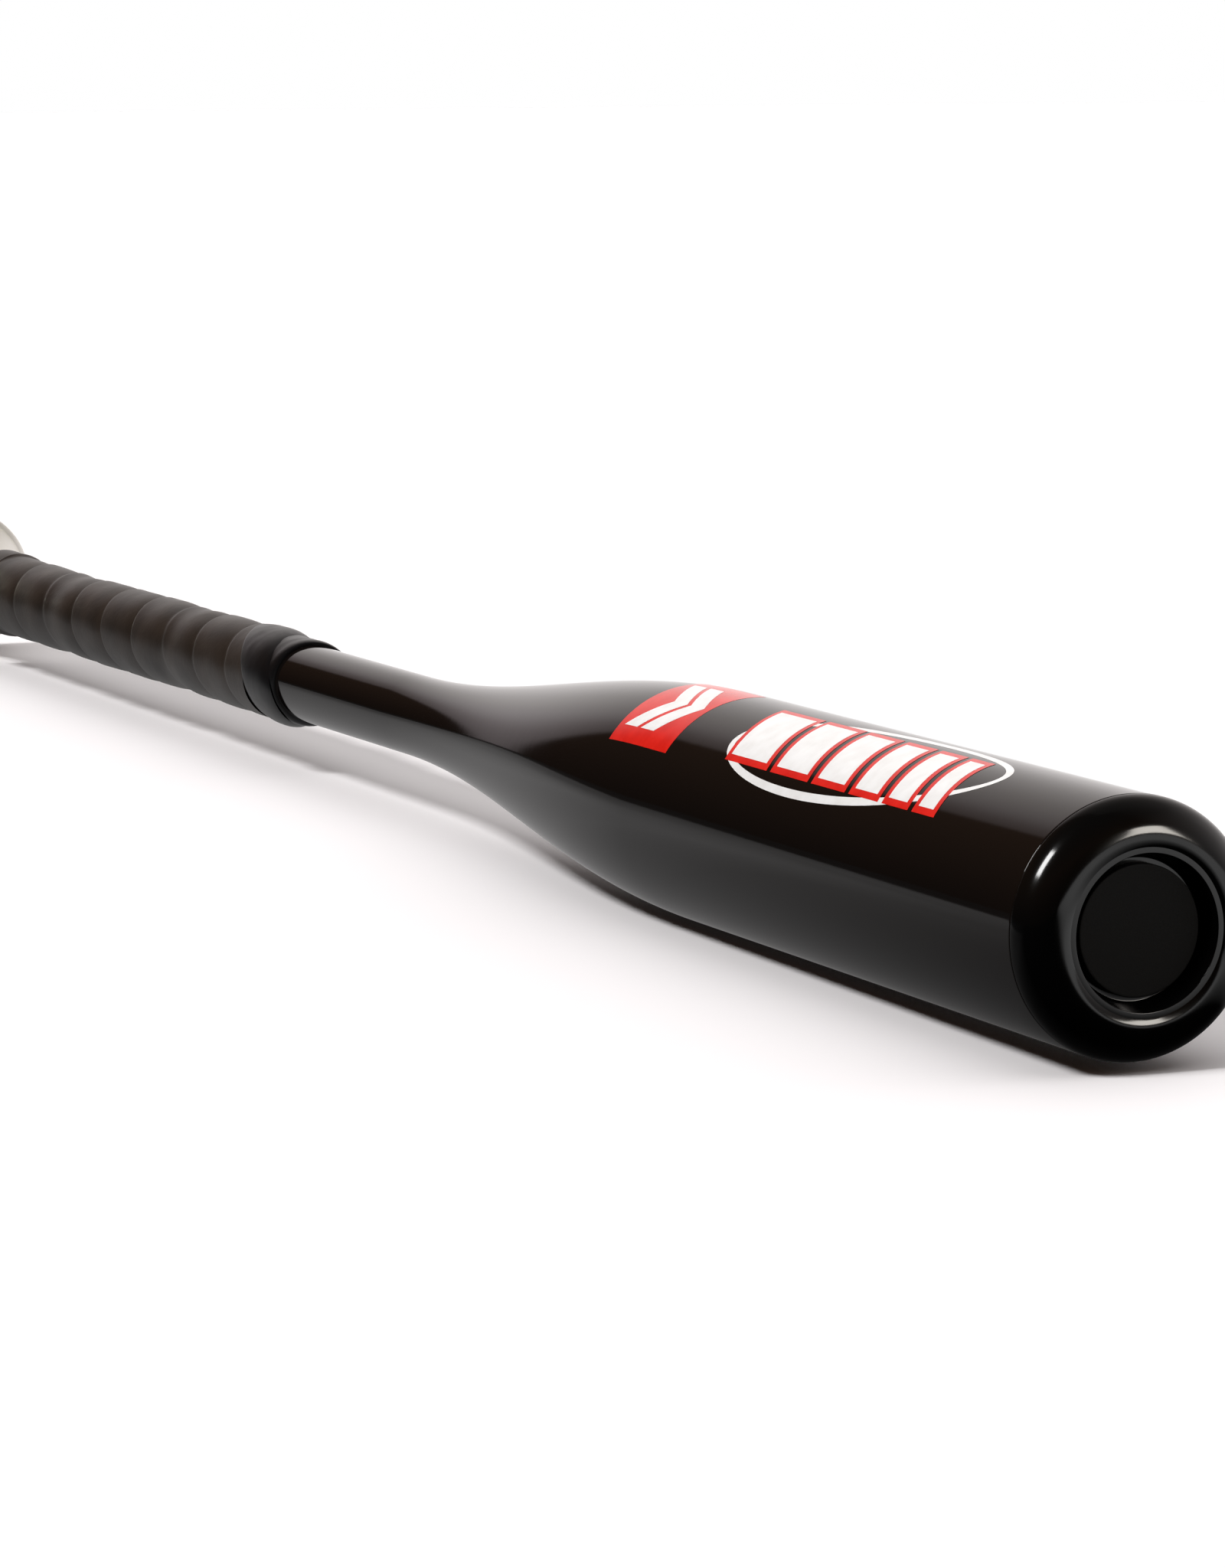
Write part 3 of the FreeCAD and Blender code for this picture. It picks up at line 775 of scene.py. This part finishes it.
panel_angle = sum(PANEL_ANGLES) / 2
panel_width = math.radians(PANEL_ANGLES[1] - PANEL_ANGLES[0]) * surface_radius(sum(PANEL_X) / 2)
panel = flat_patch("red_panel", (sum(PANEL_X) / 2, 0), (PANEL_X[1] - PANEL_X[0], panel_width))
divide(31)
roll_on(panel, 0, panel_angle)

emblem_low, emblem_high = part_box("shoulder_emblem")
lean = (emblem_high.x - emblem_low.x) / MM - 2 * CHEVRON_STROKE - CHEVRON_GAP
strokes = []
for i in range(2):
    for side in (-1, 1):
        x = emblem_low.x / MM + i * (CHEVRON_STROKE + CHEVRON_GAP) + CHEVRON_STROKE / 2
        half_height = CHEVRON_HEIGHT / 2
        stroke = flat_patch("stroke", (x, side * half_height / 2), (CHEVRON_STROKE, half_height))
        select_parts(stroke, "VERT", lambda p: abs(p.y) < 0.01)
        bpy.ops.transform.translate(value=(lean * MM, 0, 0))
        divide(11)
        strokes.append(stroke)
chevrons = roll_on(join(strokes, "white_chevrons"), 1, panel_angle)

# %% [markdown]
# Further on, an oval line frames a row of leaning bars that grow narrower towards the cap, each with a red
# margin. The oval starts as a circle of vertices, is stretched and tilted, and an Extrude that is
# scaled inwards makes its line.

# %% Print the oval
OVAL_X = 730.4
OVAL_HALF = (60.0, 14.6)
OVAL_LINE = 2.2
OVAL_TILT = math.radians(4.8)

clear_selection()
bpy.ops.mesh.primitive_circle_add(vertices=160, radius=MM, fill_type="NOTHING")
oval = bpy.context.object
bpy.ops.object.mode_set(mode="EDIT")
bpy.ops.transform.resize(value=(OVAL_HALF[0], OVAL_HALF[1], 1))
bpy.ops.mesh.extrude_edges_move()
inner = [(axis - OVAL_LINE) / axis for axis in OVAL_HALF]
bpy.ops.transform.resize(value=(inner[0], inner[1], 1))
bpy.ops.mesh.select_all(action="SELECT")
bpy.ops.mesh.subdivide(number_cuts=1)
bpy.ops.object.mode_set(mode="OBJECT")
cosine, sine = math.cos(OVAL_TILT), math.sin(OVAL_TILT)
for vertex in oval.data.vertices:
    x, y = vertex.co.x, vertex.co.y
    vertex.co = (x * cosine - y * sine + OVAL_X * MM, x * sine + y * cosine, 0)
oval.name = "white_oval"
roll_on(oval, 0)

# %% Print the bars
BAR_START = 676.0
BAR_WIDTHS = (19.0, 16.0, 13.5, 11.0, 9.0, 7.0)
BAR_GAP = 5.6
BAR_HEIGHT = 17.6
BAR_SLANT = 5.0
BAR_MARGIN = 1.8


def bar_row(name, margin):
    """The row of leaning bars, each larger all round by the margin."""
    bars = []
    x = BAR_START
    for width in BAR_WIDTHS:
        height = BAR_HEIGHT + 2 * margin
        lean_now = -BAR_SLANT * height / BAR_HEIGHT
        centre = (x + width / 2 - lean_now / 2 - BAR_SLANT / 2, 0)
        bar = flat_patch("bar", centre, (width + 2 * margin, height), lean_now)
        divide(13)
        bars.append(bar)
        x += width + BAR_GAP
    return join(bars, name)


margins = roll_on(bar_row("red_margins", BAR_MARGIN), 1)
fronts = roll_on(bar_row("white_bars", 0), 2)

# %% [markdown]
# ## Finishes
# Each finish starts from the real material and how it was made. `finish` sets up the shader, and
# `bumps` adds a relief whose grain is given in millimetres, because Object coordinates are in metres.


# %% Set up finishes
def finish(name, colour, roughness, **sockets):
    """A Principled material with plain values; further sockets are named with underscores for spaces."""
    material = bpy.data.materials.new(name)
    material.use_nodes = True
    shader = material.node_tree.nodes["Principled BSDF"]
    shader.inputs["Base Color"].default_value = linear(colour)
    shader.inputs["Roughness"].default_value = roughness
    for socket, value in sockets.items():
        shader.inputs[socket.replace("_", " ")].default_value = value
    return material, material.node_tree, shader


def coordinates(tree, stretch=(1, 1, 1)):
    """Object coordinates in metres, squeezed or stretched along the axes."""
    place = add_node(tree, "ShaderNodeTexCoord").outputs["Object"]
    return add_node(tree, "ShaderNodeMapping", {"Scale": stretch}, {"Vector": place}).outputs["Vector"]


def grain(tree, size, detail=2.0, stretch=(1, 1, 1)):
    """Noise whose blotches are about size millimetres across."""
    settings = {"Scale": 1 / (size * MM), "Detail": detail}
    place = coordinates(tree, stretch)
    return add_node(tree, "ShaderNodeTexNoise", settings, {"Vector": place}).outputs["Fac"]


def bumps(tree, shader, pattern, height, strength=1.0, under=None):
    """Join a pattern to the shader as relief of a height in millimetres."""
    links = {"Height": pattern}
    if under is not None:
        links["Normal"] = under
    bump = add_node(tree, "ShaderNodeBump", {"Distance": height * MM, "Strength": strength}, links)
    tree.links.new(bump.outputs["Normal"], shader.inputs["Normal"])
    return bump.outputs["Normal"]


def scaled(tree, source, low, high):
    """Turn a 0 to 1 pattern into a range of values."""
    node = add_node(tree, "ShaderNodeMapRange", {"To Min": low, "To Max": high}, {"Value": source})
    return node.outputs["Result"]


def give(piece, material):
    """Put one material on every slot of a piece or of a CAD node."""
    if not piece.material_slots:
        piece.data.materials.append(material)
    for slot in piece.material_slots:
        slot.material = material


# %% [markdown]
# The tube is sprayed black and covered with clear lacquer. Sprayed lacquer is never quite flat: its
# orange peel is a few thousandths of a millimetre deep and a few millimetres wide, enough to make the edge
# of a reflection wander.

# %% Black lacquer
lacquer, tree, shader = finish("black_lacquer_on_aluminium", "0b0807", 0.06, IOR=1.5, Coat_Weight=0.0)
bumps(tree, shader, grain(tree, 3.5, 1.0), 0.006, 0.6)
tree.links.new(scaled(tree, grain(tree, 18, 3.0), 0.045, 0.085), shader.inputs["Roughness"])
give(tube, lacquer)

# %% [markdown]
# The knob is bare aluminium, turned and then blasted to a satin. The tool leaves rings about a quarter of a
# millimetre apart, which are drawn twice as coarse so that they show.

# %% Satin aluminium
satin, tree, shader = finish("turned_satin_aluminium", "dedbd6", 0.38, Metallic=1.0)
rings = grain(tree, 0.5, 1.0, (1, 0.02, 0.02))
bumps(tree, shader, rings, 0.01, 0.5)
tree.links.new(scaled(tree, grain(tree, 6, 3.0), 0.32, 0.45), shader.inputs["Roughness"])
give(knob, satin)
give(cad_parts["knob"], satin)

bead, tree, shader = finish("welded_aluminium_bead", "b4b2af", 0.45, Metallic=1.0)
bumps(tree, shader, grain(tree, 2.5, 2.0), 0.15)
give(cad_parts["knob_weld_bead"], bead)

# %% [markdown]
# The cap is moulded in black nylon from a polished mould, so it is nearly as glossy as the
# lacquer. The disc comes from a spark-eroded mould and is matt, with a grain a third of a millimetre wide.

# %% Moulded blacks
moulded, tree, shader = finish("polished_moulded_nylon", "040404", 0.11, IOR=1.5)
bumps(tree, shader, grain(tree, 5, 1.0), 0.006, 0.4)
tree.links.new(scaled(tree, grain(tree, 7, 3.0), 0.09, 0.15), shader.inputs["Roughness"])
give(cap, moulded)

matt, tree, shader = finish("spark_eroded_matt_plastic", "050505", 0.7, IOR=1.3)
bumps(tree, shader, grain(tree, 0.35, 3.0), 0.05, 0.5)
give(disc, matt)

# %% [markdown]
# The grip is polyurethane tape with a soft pebbled skin. Pebbles come from Voronoi cells about a millimetre
# across, and use has left the skin a little paler and smoother in patches.

# %% Polyurethane grip tape
tape, tree, shader = finish("pebbled_polyurethane_tape", "1f1915", 0.38, IOR=1.5)
tint = add_ramp(tree, grain(tree, 14, 4.0), [(0.3, "1f1a16"), (0.7, "332b25")])
tree.links.new(tint, shader.inputs["Base Color"])
pebbles = add_node(
    tree, "ShaderNodeTexVoronoi", {"Scale": 1 / (1.1 * MM), "feature": "SMOOTH_F1"},
    {"Vector": coordinates(tree)}).outputs["Distance"]
first = bumps(tree, shader, pebbles, 0.08, 0.3)
bumps(tree, shader, grain(tree, 4, 3.0), 0.12, 0.4, first)
tree.links.new(scaled(tree, grain(tree, 9, 3.0), 0.33, 0.46), shader.inputs["Roughness"])
give(wrap, tape)

pvc, tree, shader = finish("stretched_pvc_tape", "0c0d0f", 0.33, IOR=1.52)
bumps(tree, shader, grain(tree, 3, 2.0, (1, 0.35, 0.35)), 0.1, 0.5)
tree.links.new(scaled(tree, grain(tree, 5, 2.0), 0.28, 0.42), shader.inputs["Roughness"])
give(tail, pvc)
give(ridge, pvc)

# %% [markdown]
# The prints are screen inks under a thin clear film. Ink is never perfectly even, so the colour varies a
# little over a few millimetres.


# %% Screen inks
def ink(name, dark, light, roughness):
    material, tree, shader = finish(name, light, roughness, IOR=1.5)
    shade = add_ramp(tree, grain(tree, 5, 4.0), [(0.35, dark), (0.65, light)])
    tree.links.new(shade, shader.inputs["Base Color"])
    bumps(tree, shader, grain(tree, 0.6, 2.0), 0.004, 0.5)
    return material


red_ink = ink("red_screen_ink", "d8190f", "e62218", 0.16)
white_ink = ink("white_screen_ink", "f1efed", "faf9f8", 0.18)
for piece in (panel, margins):
    give(piece, red_ink)
for piece in (chevrons, oval, fronts):
    give(piece, white_ink)

# %% [markdown]
# The pieces inside keep their CAD shapes, because the tube hides them. Each still gets the finish that it
# would show if the bat were sawn open.


# %% Hidden pieces
def hidden_finish(node, name, dark, light, roughness, size, height):
    material, tree, shader = finish(name, light, roughness)
    pattern = grain(tree, size, 3.0)
    tree.links.new(add_ramp(tree, pattern, [(0.3, dark), (0.7, light)]), shader.inputs["Base Color"])
    bumps(tree, shader, pattern, height)
    give(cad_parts[node], material)


hidden_finish("handle_plug", "cellular_foam_rubber", "1d1d1e", "303031", 0.9, 1.2, 0.4)
hidden_finish("grip_base_tape", "fleece_underlay_tape", "8e8a80", "a7a398", 0.95, 0.8, 0.1)
hidden_finish("cap_adhesive_ring", "cured_epoxy", "9b8f6a", "b3a781", 0.25, 4.0, 0.1)
hidden_finish("cap_balance_weight", "cast_urethane", "3b3d33", "4c4e42", 0.4, 6.0, 0.1)
hidden_finish("barrel_foam_damper", "open_cell_foam", "4a4a4d", "6b6b70", 0.95, 1.5, 0.5)

# %% [markdown]
# ## Lamps and pieces
# A lamp can be kept to a few pieces. The window and the soft box light the near end, and the card lights the
# knob, so none of them spills on to the floor.

# %% Keep the lamps to their pieces
near_end = bpy.data.collections.new("near_end")
for piece in (cap, disc, tube):
    near_end.objects.link(piece)
far_end = bpy.data.collections.new("far_end")
far_end.objects.link(knob)
for lamp, pieces in ((window, near_end), (soft_box, near_end), (card, far_end)):
    lamp.light_linking.receiver_collection = pieces

# %% [markdown]
# ## Hand over
# Every new piece rides on the bat's one body and stands for its CAD node, which is hidden. The table also
# lists the finish each takes from the record, but nothing here gives it.

# %% Join the pieces to the frame
STANDS_FOR = {
    "tube": ("bat_shell", "black_lacquer_aluminium"),
    "turned_knob": ("knob", "satin_aluminium"),
    "wound_grip": ("grip_wrap", "grip_tape"),
    "tape_tail": ("finishing_tape_tail", "finishing_tape_tail"),
    "tape_ridge": ("finishing_tape_ridge", "finishing_tape_ridge"),
    "moulded_cap": ("end_cap", "gloss_black_moulding"),
    "centre_disc": ("cap_centre_disc", "matt_disc"),
    "red_panel": ("shoulder_panel", "red_transfer"),
    "white_chevrons": ("shoulder_emblem", "white_emblem"),
    "white_oval": ("oval_ring", "white_oval"),
    "red_margins": ("bar_backing", "red_backing"),
    "white_bars": ("bar_faces", "white_faces"),
}

clear_selection()
for name, (node, slot) in STANDS_FOR.items():
    piece = bpy.data.objects[name]
    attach(piece, "root")
    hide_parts(node)
print(len(STANDS_FOR), "pieces stand for CAD nodes")
